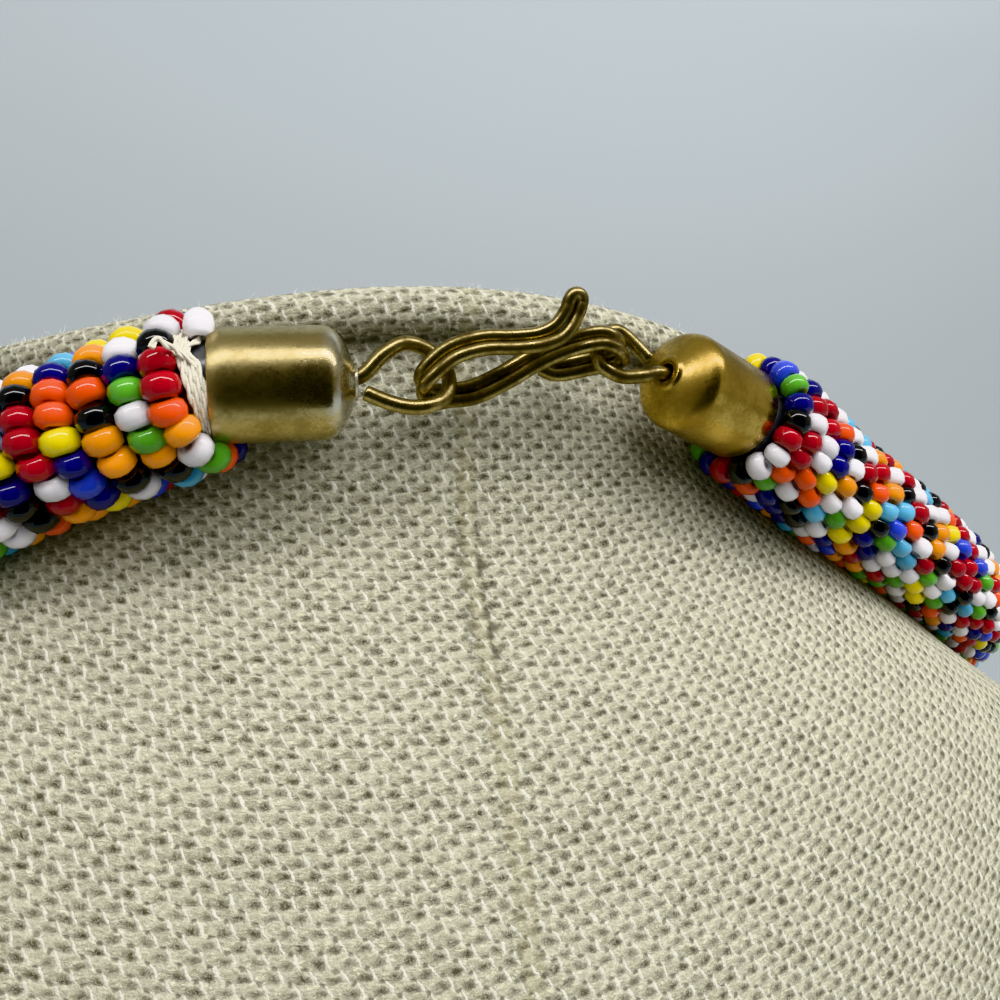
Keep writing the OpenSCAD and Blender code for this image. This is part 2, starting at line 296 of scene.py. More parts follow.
def plain_weave():
    tree, given, out = new_group(
        "plain_weave", {"Threads": "Vector"},
        {"Oval": "Float", "Sliver": "Float", "Belly": "Float", "Pit": "Float", "Tone": "Float",
         "Place": "Vector"})
    calc = sums(tree)
    uneven = node(tree, "TexNoise", {"Vector": given["Threads"], "Scale": 0.6, "Detail": 6.0,
                                     "Roughness": 0.72})
    shift = node(tree, "VectorMath", {0: uneven.outputs["Color"], 1: (0.5, 0.5, 0.5)},
                 operation="SUBTRACT")
    wander = node(tree, "VectorMath", {0: shift.outputs[0], "Scale": WANDER}, operation="SCALE")
    place = node(tree, "VectorMath", {0: given["Threads"], 1: wander.outputs[0]}, operation="ADD")
    xyz = node(tree, "SeparateXYZ", {"Vector": place.outputs[0]})
    across, along = xyz.outputs["X"], xyz.outputs["Y"]
    fat = calc("MULTIPLY_ADD", noise(tree, given["Threads"], 0.8, 2.0), FATTER, THINNEST)

    def from_crossing(row, odd):
        """Distance along a row to its nearest crossing, of those where the weft or warp is up."""
        half = calc("MULTIPLY", calc("SUBTRACT", calc("SUBTRACT", across, row), odd), 0.5)
        return calc("MULTIPLY", calc("SUBTRACT", half, calc("ROUND", half)), 2)

    def patch(x, y, long, high):
        """1 in the middle of an oval patch, falling to 0 at its edge."""
        a, b = calc("DIVIDE", x, long), calc("DIVIDE", y, high)
        left = calc("SUBTRACT", calc("SUBTRACT", 1, calc("MULTIPLY", a, a)), calc("MULTIPLY", b, b))
        return calc("MAXIMUM", left, 0)

    tops = []
    for step in (0, 1):
        row = calc("ADD", calc("FLOOR", along), step)
        side = calc("SUBTRACT", along, row)
        u, w = from_crossing(row, 0), from_crossing(row, 1)
        lean = calc("ADD", calc("MULTIPLY_ADD", side, SLIVER_SLANT, w), -SLIVER_SHIFT)
        tops.append((patch(u, side, OVAL_LONG, calc("MULTIPLY", fat, OVAL_HIGH)),
                     patch(lean, side, SLIVER_WIDE, SLIVER_LONG),
                     patch(calc("SUBTRACT", u, BELLY_RIGHT), calc("ADD", side, BELLY_LOW),
                           BELLY_LONG, BELLY_HIGH),
                     patch(calc("ADD", w, PIT_LEFT), calc("SUBTRACT", side, PIT_UP),
                           PIT_LONG, PIT_HIGH)))
    oval, sliver, belly, pit = (calc("MAXIMUM", a, b) for a, b in zip(*tops))
    float_no = calc("ROUND", calc("MULTIPLY", calc("ADD", across, calc("ROUND", along)), 0.5))
    yarns = node(tree, "CombineXYZ", {"X": float_no, "Y": calc("ROUND", along)})
    tint = node(tree, "TexWhiteNoise", {"Vector": yarns.outputs[0]})
    for label, socket in (("Oval", oval), ("Sliver", sliver), ("Belly", belly), ("Pit", pit),
                          ("Tone", tint.outputs["Value"]), ("Place", place.outputs[0])):
        tree.links.new(socket, out[label])
    return tree


WEAVE = plain_weave()
print("weave group nodes:", len(WEAVE.nodes))

# %% [markdown]
# The linen itself is oatmeal coloured and quite matt. The edges of each yarn are pale with
# loose fibres and with a painted highlight where they catch the light, and its middle is
# greyer; the slivers of warp are the palest part, with a painted highlight, and the pits and
# low places between the yarns are painted dark as shade. A noise drawn out along the twist
# of the yarn stands for the fibres.
# The pattern follows the cloth through the bust's own UV map, which counts threads. Along
# the seam, holes of the stitching show here and there on both sides, and high on the back
# dust has gathered in the two grooves beside it.

# %% Marks along the seam
WARP_PITCH, WEFT_PITCH = 1.18, 1.07
STITCH_AT, STITCH_STEP, STITCH_HALF = 1.0, 1.7, 0.28  # mm from the seam, between holes, half a hole
DUSTY_FROM, DUSTY_TO, DUSTY_EDGE = -49, -26, 5  # threads, counted down the seam from the rim


def seam_marks(tree, calc, threads, slubs):
    """Masks of the strip over the seam, its stitch holes, its grooves and their dust."""
    xy = node(tree, "SeparateXYZ", {"Vector": threads}).outputs
    from_seam = calc("ABSOLUTE", calc("MULTIPLY", xy["X"], WARP_PITCH))
    strip = fall(tree, from_seam, STITCH_AT * 0.7, STITCH_AT * 1.3)
    from_line = calc("SUBTRACT", from_seam, STITCH_AT)
    in_step = calc("FRACT", calc("MULTIPLY", xy["Y"], WEFT_PITCH / STITCH_STEP))
    from_hole = calc("MULTIPLY", calc("SUBTRACT", in_step, 0.5), STITCH_STEP)
    distance = calc("SQRT", calc("ADD", calc("MULTIPLY", from_line, from_line),
                                 calc("MULTIPLY", from_hole, from_hole)))
    hole = calc("MULTIPLY", fall(tree, distance, STITCH_HALF * 0.4, STITCH_HALF * 1.5),
                ramp(tree, slubs, 0.4, 0.54))
    dusty = calc("MULTIPLY", ramp(tree, xy["Y"], DUSTY_FROM, DUSTY_FROM + DUSTY_EDGE),
                 fall(tree, xy["Y"], DUSTY_TO - DUSTY_EDGE, DUSTY_TO))
    patchy = calc("MULTIPLY", ramp(tree, noise(tree, threads, 0.8, 3.0), 0.4, 0.56), dusty)
    groove = calc("MULTIPLY", fall(tree, calc("ABSOLUTE", from_line), 0.15, 0.8), patchy)
    right_side = calc("MULTIPLY_ADD", ramp(tree, xy["X"], -0.1, 0.1), 0.35, 0.65)
    dust = calc("MULTIPLY", calc("MULTIPLY", groove, right_side), 0.85)
    return strip, hole, groove, dust


print("stitch holes lie", STITCH_STEP, "mm apart and", STITCH_AT, "mm from the seam")

# %% Linen


def linen(name):
    material, tree, shader = new_material(
        name, Roughness=0.95, Sheen_Weight=0.15, Sheen_Roughness=0.6, Specular_IOR_Level=0.15)
    calc = sums(tree)
    threads = node(tree, "UVMap", uv_map="threads").outputs["UV"]
    weave = use_group(tree, WEAVE, {"Threads": threads})
    twist = node(tree, "Mapping", {"Vector": weave["Place"], "Rotation": (0, 0, radians(-24)),
                                   "Scale": (1.9, 5.4, 1.0)}).outputs[0]
    fibre = ramp(tree, noise(tree, twist, 1.0, 4.0, Roughness=0.85, Distortion=0.6), 0.34, 0.66)
    slub = node(tree, "Mapping", {"Vector": threads, "Scale": (0.12, 1.0, 1.0)}).outputs[0]
    slubs = noise(tree, slub, 1.0, 2.0)
    strip, hole, groove, dust = seam_marks(tree, calc, threads, slubs)

    # loose fibres are thin winding lines, along one level of another noise
    level = noise(tree, weave["Place"], 1.9, 2.0, Distortion=1.2)
    lint = fall(tree, calc("ABSOLUTE", calc("SUBTRACT", level, 0.5)), 0.0, 0.06)

    # a yarn is grey in its middle and pale at its fringe, from loose fibres and a painted highlight;
    # painted shade darkens it beside the next sliver
    grey = calc("MULTIPLY_ADD", fibre, -1.0, calc("MULTIPLY", weave["Tone"], 0.35))
    grey = calc("ADD", grey, calc("MULTIPLY_ADD", slubs, -0.7, 0.35))
    bare = mixed(tree, ramp(tree, grey, -0.9, 0.5), screen(218, 214, 187), screen(140, 137, 110))
    fringe_and_highlight = calc("MULTIPLY", fall(tree, weave["Oval"], 0.1, 0.7), 0.45)
    with_fringe_and_highlight = mixed(tree, fringe_and_highlight, bare, screen(244, 240, 214))
    shade = calc("MULTIPLY", calc("MULTIPLY", weave["Belly"], weave["Belly"]),
                 calc("MULTIPLY_ADD", weave["Tone"], 0.4, 0.72))
    bellied = mixed(tree, shade, with_fringe_and_highlight, screen(80, 74, 46))
    yarn = mixed(tree, calc("MULTIPLY", lint, 0.35), bellied, screen(250, 247, 222))
    rubbed = mixed(tree, calc("MULTIPLY", strip, 0.28), yarn, screen(176, 166, 122))

    # painted shade darkens the pits and the low places between yarns, a painted highlight brightens
    # the slivers, and dust and stitch holes lie over everything
    top = calc("MAXIMUM", weave["Oval"], calc("MULTIPLY", weave["Sliver"], 0.8))
    depth = fall(tree, calc("MULTIPLY_ADD", fibre, 0.3, top), 0.05, 0.5)
    pit = calc("MULTIPLY", ramp(tree, weave["Pit"], 0.1, 0.95), calc("MULTIPLY_ADD", fibre, 0.4, 0.5))
    dark = calc("MAXIMUM", calc("MULTIPLY", depth, 0.25), pit)
    shaded = mixed(tree, calc("MULTIPLY", dark, 0.92), rubbed, screen(66, 60, 34))
    sliver_highlight = calc("MULTIPLY", ramp(tree, weave["Sliver"], 0.0, 0.5),
                 calc("MULTIPLY_ADD", weave["Tone"], 0.55, 0.4))
    pale = mixed(tree, sliver_highlight, shaded, screen(255, 253, 236))
    marks = calc("MAXIMUM", calc("MULTIPLY", hole, 0.6), dust)
    dip = calc("ADD", calc("MAXIMUM", hole, groove), calc("MULTIPLY", weave["Pit"], 0.35))
    relief = calc("MULTIPLY_ADD", fibre, 0.35, calc("MULTIPLY_ADD", lint, 0.2, top))
    dress(tree, shader, mixed(tree, marks, pale, screen(86, 80, 56)), calc("SUBTRACT", relief, dip),
          1.0, 0.32)
    return material


LINEN = linen("oatmeal_linen")
print("threads in 10 cm of linen:", round(100 / WARP_PITCH), "by", round(100 / WEFT_PITCH))

# %% [markdown]
# The cover of the bust starts as a flat grid. Each point of the grid is carried to its
# section and its turn round the neck, the two side edges meet at the front and are
# merged, and the middle of the top closes to a point. Extra columns run down the nape,
# where the two halves of the cloth are joined by a raised seam. Before the grid is bent,
# the lengths along its rows and columns are written to the UV map as thread counts.

# %% Sections of the linen cover
ROWS_PER_SPAN = 14
ROLL_R, ROLL_RISE, ROLL_INSET = 2.3, 5.1, 0.8
TOP_RINGS, TOP_DISH = 9, 3.0  # rings of the cloth inside the rim, and how deep it is dished


def raised(row, outward, rise):
    return row + np.array([outward, -outward, outward, rise, rise, rise])


def drawn_in(row, keep, drop):
    """The section shrunk towards its middle, and lowered."""
    y, z = (row[1] + row[2]) / 2, (row[3] + row[5]) / 2
    middle = np.array([0, y, y, z, z, z])
    return middle + (row - middle) * keep - np.array([0, 0, 0, drop, drop, drop])


def cover_sections():
    """Every section from the base to the middle of the top, and where the roll and top start."""
    wall = [(row_at(t), float(dip_at(t)))
            for t in np.linspace(LAST_ROW, 0, LAST_ROW * ROWS_PER_SPAN + 1)]
    neck = BUST_ROWS[0]
    roll = [raised(neck, ROLL_R * cos(a) - ROLL_INSET, ROLL_RISE + ROLL_R * sin(a))
            for a in np.radians(np.arange(-90, 181, 15))]
    crease = [raised(neck, -ROLL_INSET * 0.6, 1.6), raised(neck, -ROLL_INSET * 1.3, 2.4)]
    lid = raised(neck, -2 * ROLL_R, ROLL_RISE - ROLL_R / 2)
    top = [(drawn_in(lid, keep, TOP_DISH * (1 - keep**2)), QUARTER_DIP * keep)
           for keep in np.linspace(1, 0, TOP_RINGS + 1)]
    sections = wall + [(row, QUARTER_DIP) for row in crease + roll] + top
    return sections, len(wall), len(sections) - len(top)


sections, roll_starts, top_starts = cover_sections()
print("the rolled rim starts at section", roll_starts, "and the top at", top_starts)

# %% Columns and the raised seam
SIDE_TURNS = 116  # columns on each side, away from the seam
SEAM_X = (0.5, 1.0, 1.4, 1.9, 2.6)  # columns beside the seam, mm from it
SEAM_HIGH, SEAM_HALF, SEAM_GROOVE, GROOVE_AT, GROOVE_HALF = 0.14, 1.1, 0.1, 1.3, 0.4


def column_turns(half_w):
    """Turns of the columns from the front, round the left, the nape and the right."""
    seam = np.array([asin(x / half_w) if half_w > 10 * x else 0.1 * k
                     for k, x in enumerate(SEAM_X, 1)])
    side = np.linspace(seam[-1], pi, SIDE_TURNS + 1)[1:]
    right_half = np.concatenate([seam, side])
    return np.concatenate([-right_half[::-1], [0], right_half])


def seam_rise(x):
    """Height of the raised seam, with a shallow groove on each side of it."""
    ridge = np.clip(1 - (np.abs(x) / SEAM_HALF) ** 2, 0, 1) ** 0.5
    groove = np.exp(-((np.abs(x) - GROOVE_AT) / GROOVE_HALF) ** 2)
    return SEAM_HIGH * ridge - SEAM_GROOVE * groove


points = np.array([section_point(row, column_turns(max(row[0], 1)), dip) for row, dip in sections])
down = np.gradient(points, axis=0)
around = np.gradient(points, axis=1)
outward = np.cross(around, down)
outward /= np.maximum(np.linalg.norm(outward, axis=-1, keepdims=True), 1e-9)
in_seam = (np.abs(points[..., 0]) < 3) & (points[..., 1] < 0)
in_seam[roll_starts:] = False

middle = points.shape[1] // 2
steps = np.linalg.norm(np.diff(points, axis=1), axis=-1)
lengths = np.concatenate([np.zeros((len(points), 1)), np.cumsum(steps, axis=1)], axis=1)
warp_count = (lengths - lengths[:, middle:middle + 1]) / WARP_PITCH
rises = np.linalg.norm(np.diff(points, axis=0), axis=-1)
weft_count = np.concatenate([np.zeros((1, points.shape[1])), np.cumsum(rises, axis=0)]) / WEFT_PITCH
weft_count -= weft_count[top_starts:top_starts + 1]
points += outward * (seam_rise(points[..., 0]) * in_seam)[..., None]
print("cover:", points.shape[1], "columns by", points.shape[0], "rows")

# %% Handing a piece to the frame


def finish_piece(mesh_data, name, material, replaced):
    """Makes an object of a bmesh, in millimetres, and hands it to the frame."""
    bmesh.ops.scale(mesh_data, vec=(MM, MM, MM), verts=mesh_data.verts)
    mesh = bpy.data.meshes.new(name)
    mesh_data.to_mesh(mesh)
    mesh_data.free()
    hand_over(mesh, name, material, replaced)


def hand_over(mesh, name, material, replaced):
    """Makes an object of a mesh, in metres, and hides the solid it stands for."""
    piece = bpy.data.objects.new(name, mesh)
    bpy.context.collection.objects.link(piece)
    mesh.materials.append(material)
    mesh.shade_smooth()
    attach(piece, BODY)
    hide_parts(replaced)
    print(name, "has", sum(len(p.vertices) - 2 for p in mesh.polygons), "triangles")


print("every piece rides on the body", BODY)

# %% The grid that becomes the cover
rows, columns = points.shape[:2]
cover = bmesh.new()
bmesh.ops.create_grid(cover, x_segments=columns - 1, y_segments=rows - 1, size=1)
threads = cover.loops.layers.uv.new("threads")
places = {}
for v in cover.verts:
    places[v] = (round((v.co.y + 1) / 2 * (rows - 1)), round((v.co.x + 1) / 2 * (columns - 1)))
for face in cover.faces:
    on_top = min(places[v][0] for v in face.verts) >= top_starts
    for loop in face.loops:
        place = places[loop.vert]
        if on_top:
            x, y = points[place][0], points[place][1]
            loop[threads].uv = (x / WARP_PITCH, y / WEFT_PITCH)
        else:
            loop[threads].uv = (warp_count[place], weft_count[place])
for v in cover.verts:
    v.co = points[places[v]]
bmesh.ops.remove_doubles(cover, verts=cover.verts, dist=0.005)
bmesh.ops.edgeloop_fill(cover, edges=[e for e in cover.edges if e.is_boundary])
bmesh.ops.recalc_face_normals(cover, faces=cover.faces)
print("cover is closed:", not any(e.is_boundary for e in cover.edges))
finish_piece(cover, "linen_cover", LINEN, "neck_bust")

# %% [markdown]
# The collar's middle line lies a rope's radius off the linen. It follows one row of the
# bust and climbs at the nape, and near its ends it bends over to the axes of the caps.
# The line is sampled closely, and a pair of side directions is carried along it without
# twisting, so that every ring of beads has a place and a heading.

# %% The rope's line
ROPE_D, CORE_D = 15, 8.6
LEFT_END, RIGHT_END = 23, 29
LEFT_BARE, RIGHT_BARE = 0.8, 0.8
SEAT_ROW, NAPE_CLIMB, NAPE_SPREAD = 2, 2.8, 30
LEFT_BEND, RIGHT_BEND, SQUARE_FROM = 3, 16, 4
SETTLE = 0.45  # how far the beads settle into the cloth
STATIONS = 240


def heading_to(heading, rise):
    h, r = radians(heading), radians(rise)
    return np.array([cos(h) * cos(r), sin(h) * cos(r), sin(r)])


LEFT_MOUTH, LEFT_AXIS = np.array([-24, -30.7, 216.3]), heading_to(-6, 4)
RIGHT_MOUTH, RIGHT_AXIS = np.array([30.1, -27.9, 214.1]), heading_to(-161, 22)


def collar_point(turn):
    from_nape = turn - 360 if turn > 180 else turn
    row = max(0.01, SEAT_ROW - NAPE_CLIMB * exp(-((from_nape / NAPE_SPREAD) ** 2)))
    at = np.radians(turn)
    return bust_point(at, row) + (ROPE_D / 2 - SETTLE) * bust_outward(at, row)


print("the line at the chest, mm:", [round(float(c), 1) for c in collar_point(180)])

# %% The line bent to the caps


def along_lengths(line):
    return np.concatenate([[0], np.cumsum(np.linalg.norm(np.diff(line, axis=0), axis=1))])


def hold(s, bend):
    """How firmly the cap holds the line, s from its mouth."""
    t = np.clip(1 - s / bend, 0, 1)
    return (t * t * (3 - 2 * t))[:, None]


turns = np.linspace(RIGHT_END, 360 - LEFT_END, STATIONS + 1)
rope_line = np.array([collar_point(turn) for turn in turns])
from_right = along_lengths(rope_line)
from_left = from_right[-1] - from_right
to_right = RIGHT_MOUTH - RIGHT_AXIS * from_right[:, None] - rope_line
to_left = LEFT_MOUTH - LEFT_AXIS * from_left[:, None] - rope_line
rope_line = rope_line + hold(from_right, RIGHT_BEND) * to_right + hold(from_left, LEFT_BEND) * to_left
ROPE_LENGTH = along_lengths(rope_line)[-1]
print("rope length, mm:", round(float(ROPE_LENGTH), 1))

# %% Directions along the rope


def smooth_line(line, steps):
    """More points through the same ones, on a smooth curve."""
    ends = np.vstack([2 * line[0] - line[1], line, 2 * line[-1] - line[-2]])
    fine = [between(*ends[i - 1:i + 3], t) for i in range(1, len(line))
            for t in np.arange(steps) / steps]
    return np.array(fine + [line[-1]])


def carried_frames(line, start):
    """Tangent and two side directions at each point, carried without twist."""
    tangents = unit(np.gradient(line, axis=0))
    sides, side = [], np.array(start, float)
    for tangent in tangents:
        side = unit(side - tangent * (side @ tangent))
        sides.append(side)
    sides = np.array(sides)
    return tangents, sides, np.cross(tangents, sides)


rope_fine = smooth_line(rope_line, 2)
fine_s = along_lengths(rope_fine)
rope_t, rope_n, rope_b = carried_frames(rope_fine, (0, 0, 1))


def rope_frame(s):
    """Place, tangent and side directions at a length from the right cap's mouth.

    The last rounds on the left keep the rope's own slope although the core turns there."""
    square = min(s, ROPE_LENGTH - SQUARE_FROM)
    pick = [np.interp(at, fine_s, part[:, k])
            for at, part in ((s, rope_fine), (square, rope_t), (square, rope_n), (square, rope_b))
            for k in range(3)]
    place, t, n, b = np.array(pick).reshape(4, 3)
    return place, unit(t), unit(n), unit(b)


print("the rope heads", [round(float(c), 2) for c in rope_frame(ROPE_LENGTH / 2)[1]], "at its middle")

# %% [markdown]
# Tubes and wires are made by sweeping a circle: the ring is extruded, and the new ring is
# moved by the turn and shift that lead from one station to the next. The ends are filled,
# and a small inset before each end rounds it.

# %% A swept tube


def ring_matrix(place, t, n, b, radius):
    turn = Matrix((n * radius, b * radius, t)).transposed().to_4x4()
    turn.translation = Vector(place)
    return turn


def sweep(line, radius, sides, start=(0, 0, 1), end_round=0.0):
    """A solid tube along a line, in millimetres, as a bmesh."""
    line = np.asarray(line, float)
    radii = np.broadcast_to(radius, len(line)).astype(float)
    t, n, b = carried_frames(line, start)
    if end_round:
        cuts = [(end_round, 1.0), (end_round * 0.3, 0.9), (0, 0.62)]
        head = [(line[0] + t[0] * d, radii[0] * k) for d, k in reversed(cuts)]
        tail = [(line[-1] - t[-1] * d, radii[-1] * k) for d, k in cuts]
        line = np.vstack([[p for p, _ in head], line[1:-1], [p for p, _ in tail]])
        radii = np.concatenate([[r for _, r in head], radii[1:-1], [r for _, r in tail]])
        t = np.vstack([[t[0]] * 3, t[1:-1], [t[-1]] * 3])
        n = np.vstack([[n[0]] * 3, n[1:-1], [n[-1]] * 3])
        b = np.vstack([[b[0]] * 3, b[1:-1], [b[-1]] * 3])
    tube = bmesh.new()
    places = [ring_matrix(*station) for station in zip(line, t, n, b, radii)]
    ring = bmesh.ops.create_circle(tube, segments=sides, radius=1, cap_ends=False,
                                   matrix=places[0])["verts"]
    edges = list(tube.edges)
    first = list(edges)
    for before, after in zip(places, places[1:]):
        made = bmesh.ops.extrude_edge_only(tube, edges=edges)["geom"]
        ring = {g for g in made if isinstance(g, bmesh.types.BMVert)}
        edges = [g for g in made if isinstance(g, bmesh.types.BMEdge)
                 and g.verts[0] in ring and g.verts[1] in ring]
        bmesh.ops.transform(tube, matrix=after @ before.inverted(), verts=list(ring))
    for rim in (first, edges):
        bmesh.ops.edgeloop_fill(tube, edges=rim)
    bmesh.ops.recalc_face_normals(tube, faces=tube.faces)
    return tube


trial = sweep([(0, 0, 0), (5, 0, 0), (9, 1, 0)], 1, 8)
print("trial tube:", len(trial.verts), "vertices, open edges", sum(e.is_boundary for e in trial.edges))
trial.free()

# %% [markdown]
# The core is a smooth grey tube that the beads are worked round. It only shows just
# behind each cap, where it has a hard gloss with faint lengthwise streaks.

# %% The core tube
CORE_IN_CAP = 7


def streaked_plastic(name):
    material, tree, shader = new_material(name, Roughness=0.22, Specular_IOR_Level=0.6)
    cloud = noise(tree, node(tree, "TexCoord").outputs["Object"], 900.0, 4.0)
    colour = mixed(tree, cloud, screen(52, 52, 54), screen(104, 105, 108))
    dress(tree, shader, colour, cloud, 0.25, 0.1)
    return material


into_right = [RIGHT_MOUTH + RIGHT_AXIS * depth for depth in (CORE_IN_CAP, 3)]
into_left = [LEFT_MOUTH + LEFT_AXIS * depth for depth in (0, 3, CORE_IN_CAP)]
finish_piece(sweep(np.vstack([into_right, rope_fine[::4], into_left]), CORE_D / 2, 28), "core",
             streaked_plastic("grey_core"), "core_tube")

# %% [markdown]
# A seed bead is a slice of glass cane with a hole, its corners melted round. Half its
# section, a closed outline of a few points, is spun about the hole. Only one bead is
# made, and the rope then takes thousands of copies of its points, so it has few faces.

# %% One seed bead
BEAD_D, BEAD_LONG, BEAD_HOLE = 3.12, 2.12, 0.8
BEAD_SIDES = 12


def bead_shape(sides=BEAD_SIDES):
    """A bead round the X axis, with its middle at zero."""
    half, outer, hole = BEAD_LONG / 2, BEAD_D / 2, BEAD_HOLE / 2
    outline = [(-half * 0.9, hole), (-half, outer * 0.6), (-half * 0.62, outer * 0.91), (0, outer),
               (half * 0.62, outer * 0.91), (half, outer * 0.6), (half * 0.9, hole)]
    bead = bmesh.new()
    corners = [bead.verts.new((x, 0, r)) for x, r in outline]
    edges = [bead.edges.new(pair) for pair in zip(corners, corners[1:] + corners[:1])]
    bmesh.ops.spin(bead, geom=corners + edges, cent=(0, 0, 0), axis=(1, 0, 0), angle=2 * pi,
                   steps=sides, use_merge=True)
    bmesh.ops.remove_doubles(bead, verts=bead.verts, dist=0.001)
    bmesh.ops.recalc_face_normals(bead, faces=bead.faces)
    return bead


one_bead = bead_shape()
bead_points = np.array([v.co for v in one_bead.verts])
bead_faces = [[v.index for v in f.verts] for f in one_bead.faces]
print("one bead has", len(bead_faces), "faces, open edges", sum(e.is_boundary for e in one_bead.edges))
one_bead.free()

# %% [markdown]
# The beads are mixed at random: mostly white, red and black, with orange, amber, green,
# light blue, yellow and two dark blues among them, and the odd clear one. Opaque seed
# beads are glossy glass. Every bead has its own number, stored with its faces, which
# shifts its tone a little, because no two batches of glass are quite alike.

# %% Glass for the beads
# name: share of the beads, screen colour, how far the light goes in
GLASS = {
    "white": (20, (232, 228, 232), 0.25),
    "red": (13, (154, 9, 24), 0.0),
    "black": (13, (9, 9, 11), 0.0),
    "orange": (10, (230, 80, 16), 0.1),
    "amber": (10, (234, 146, 20), 0.1),
    "green": (9, (92, 160, 58), 0.05),
    "light_blue": (9, (98, 172, 208), 0.1),
    "yellow": (8, (228, 206, 20), 0.1),
    "navy": (6, (16, 14, 100), 0.0),
    "cobalt": (6, (60, 76, 194), 0.0),
    "clear": (0.7, (212, 182, 110), 0.0),
}


def bead_glass(name, colour, depth):
    material, tree, shader = new_material(
        "glass_" + name, Roughness=0.09, IOR=1.52, Coat_Weight=0.35, Coat_Roughness=0.03)
    calc = sums(tree)
    lot = node(tree, "Attribute", attribute_name="lot").outputs["Fac"]
    melt = noise(tree, node(tree, "TexCoord").outputs["Object"], 700.0, 2.0)
    deep = screen(*(c * 0.82 for c in colour))
    tone = calc("ADD", calc("MULTIPLY", lot, 0.7), calc("MULTIPLY", melt, 0.3))
    dress(tree, shader, mixed(tree, tone, deep, screen(*colour)), melt, 0.12, 0.15)
    if name == "clear":
        shader.inputs["Transmission Weight"].default_value = 0.92
        shader.inputs["Roughness"].default_value = 0.05
    elif depth:
        shader.inputs["Subsurface Weight"].default_value = depth
        shader.inputs["Subsurface Radius"].default_value = (1.0, 0.9, 0.9)
        shader.inputs["Subsurface Scale"].default_value = 0.6 * MM
    return material


BEAD_GLASS = {name: bead_glass(name, colour, depth) for name, (_, colour, depth) in GLASS.items()}
print("kinds of glass:", len(BEAD_GLASS))

# %% [markdown]
# The rope is worked in rounds of eighteen beads. A bead lies with its hole along the
# round, and each round is turned by half a bead from the last, so the beads nest like
# bricks. The rounds are evenly spaced along the line. Every bead is nudged and tilted by
# a small random amount and made a little wider along the rope than it is deep, as the
# photograph shows them. The copies are gathered into one mesh for each colour.

# %% Rounds of beads
BEADS_ROUND = 18
ROUND_PITCH, WIDER = 3.22, 1.1
NUDGE_ROUND, NUDGE_ALONG, NUDGE_OUT, TILT_DEG = 1.4, 0.10, 0.07, 7.0
END_PUSH, END_SAG, END_TIP = 0.8, 0.35, 8  # the last round: to the cap, down, and degrees of tip
# colours of the two end rounds, from the top of the rope down its near side
LEFT_ROUND = ("red", "white", "black", "red", "red", "orange", "amber", "white", "green", "orange")
RIGHT_ROUND = ("yellow", "navy", "cobalt", "green", "navy", "black", "red", "white", "white",
               "black", "red", "navy")
LEFT_ROUND_FROM, RIGHT_ROUND_FROM, TURN_LEFT = 17, 17, 0.85


first_s, last_s = RIGHT_BARE + BEAD_D / 2, ROPE_LENGTH - LEFT_BARE - BEAD_D / 2
rounds = round((last_s - first_s) / ROUND_PITCH) + 1
bead_ring_r = ROPE_D / 2 - BEAD_D / 2


def round_phase(k):
    """How far round number k is turned, in beads: half a bead each time, and a slow twist."""
    return 0.5 * (k % 2) + TURN_LEFT * k / (rounds - 1)


print(rounds, "rounds,", rounds * BEADS_ROUND, "beads")

# %% A place, a tilt and a colour for every bead
rng = random.Random(20)
names, shares = list(GLASS), [share for share, _, _ in GLASS.values()]
placed = {name: [] for name in names}
for k in range(rounds):
    s = first_s + (last_s - first_s) * k / (rounds - 1)
    middle_at, t, n, b = rope_frame(s)
    charted = {0: (RIGHT_ROUND, RIGHT_ROUND_FROM), rounds - 1: (LEFT_ROUND, LEFT_ROUND_FROM)}.get(k)
    if k == rounds - 1:
        middle_at = middle_at + t * END_PUSH - np.array([0, 0, END_SAG])
        turned = Matrix.Rotation(radians(END_TIP), 3, "Y")
        t, n, b = (np.array(turned @ Vector(v)) for v in (t, n, b))
    for j in range(BEADS_ROUND):
        angle = 2 * pi * (j + round_phase(k)) / BEADS_ROUND + radians(rng.gauss(0, NUDGE_ROUND))
        out = n * cos(angle) + b * sin(angle)
        side = b * cos(angle) - n * sin(angle)
        colour = rng.choices(names, shares)[0]
        if charted and (j - charted[1]) % BEADS_ROUND < len(charted[0]):
            colour = charted[0][(j - charted[1]) % BEADS_ROUND]
        at = (middle_at + out * (bead_ring_r + rng.gauss(0, NUDGE_OUT))
              + t * rng.gauss(0, NUDGE_ALONG))
        lean = Matrix.Rotation(radians(rng.gauss(0, TILT_DEG)), 3, Vector(out))
        roll = Matrix.Rotation(radians(rng.gauss(0, TILT_DEG)), 3, Vector(t))
        size = rng.gauss(1, 0.025)
        axes = np.array(lean @ roll @ Matrix((side, t, out)).transposed()) * [size, size * WIDER, size]
        placed[colour].append((axes, at, rng.random()))
print("beads of each colour:", {colour: len(beads) for colour, beads in placed.items()})

# %% Copies gathered by colour


def gathered(name, copies, shape_faces, numbers):
    """One mesh of many placed copies of a shape. The faces of a copy hold its number."""
    count = len(copies[0])
    faces = [[v + count * i for v in face] for i in range(len(copies)) for face in shape_faces]
    mesh = bpy.data.meshes.new(name)
    mesh.from_pydata(np.concatenate(copies) * MM, [], faces)
    lot = mesh.attributes.new("lot", "FLOAT", "FACE")
    lot.data.foreach_set("value", np.repeat(numbers, len(shape_faces)))
    mesh.update()
    return mesh


for colour, beads in placed.items():
    copies = [bead_points @ axes.T + at for axes, at, _ in beads]
    mesh = gathered("beads_" + colour, copies, bead_faces, [number for _, _, number in beads])
    hand_over(mesh, mesh.name, BEAD_GLASS[colour], "bead_rope")

